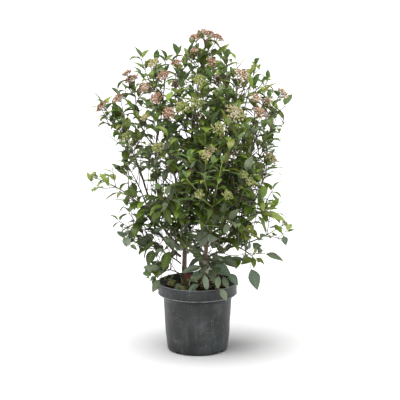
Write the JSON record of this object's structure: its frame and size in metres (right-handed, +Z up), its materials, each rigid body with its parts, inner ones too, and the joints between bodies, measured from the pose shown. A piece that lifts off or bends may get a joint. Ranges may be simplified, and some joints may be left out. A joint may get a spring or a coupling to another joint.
{
  "type": "potted laurustinus shrub",
  "caption": "Bushy evergreen shrub with slim stems and flat-topped clusters of flower buds, growing in a round black nursery pot.",
  "frame": {"origin": "centre of the pot's flat underside", "axes": "+Z up through the pot and crown, -Y towards the crown's best side, +X to the right as seen from that side"},
  "size_m": [0.6455, 0.5214, 0.9801],
  "materials": {
    "pot_plastic": "fine moulded grain, dusty",
    "compost": "crumbly, moist",
    "bark": "fine ridged bark",
    "foliage": "leathery leaves with a soft gloss"
  },
  "bodies": {
    "root": {"pot": "pot_plastic", "compost": "compost", "stem_back": "bark", "stem_main": "bark", "stem_right": "bark", "bough_back_high": "bark", "bough_back_left": "bark", "bough_back_right": "bark", "bough_centre": "bark", "bough_front_left": "bark", "bough_front_right": "bark", "bough_left_belt": "bark", "bough_left_high": "bark", "bough_left_shoulder": "bark", "bough_right_belt": "bark", "bough_right_high": "bark", "bough_right_low": "bark", "bough_right_shoulder": "bark", "mass_back_foot": "foliage", "mass_back_left": "foliage", "mass_back_left_low": "foliage", "mass_back_lower": "foliage", "mass_back_middle": "foliage", "mass_back_right": "foliage", "mass_back_right_low": "foliage", "mass_back_top": "foliage", "mass_back_top_left": "foliage", "mass_back_top_right": "foliage", "mass_front_foot": "foliage", "mass_front_left": "foliage", "mass_front_left_low": "foliage", "mass_front_low": "foliage", "mass_front_lower": "foliage", "mass_front_middle": "foliage", "mass_front_right": "foliage", "mass_front_top": "foliage", "mass_front_upper": "foliage", "mass_left_belt": "foliage", "mass_left_foot": "foliage", "mass_left_high": "foliage", "mass_left_inner": "foliage", "mass_left_low": "foliage", "mass_left_middle": "foliage", "mass_left_shoulder": "foliage", "mass_left_sprig": "foliage", "mass_left_top": "foliage", "mass_left_top_inner": "foliage", "mass_right_belt": "foliage", "mass_right_droop": "foliage", "mass_right_front_low": "foliage", "mass_right_lower": "foliage", "mass_right_middle": "foliage", "mass_right_shoulder": "foliage", "mass_right_sprig": "foliage", "mass_right_top": "foliage", "mass_right_upper": "foliage", "mass_rose": "foliage", "mass_top": "foliage", "mass_top_left": "foliage", "mass_top_right": "foliage"}
  },
  "joints": []
}
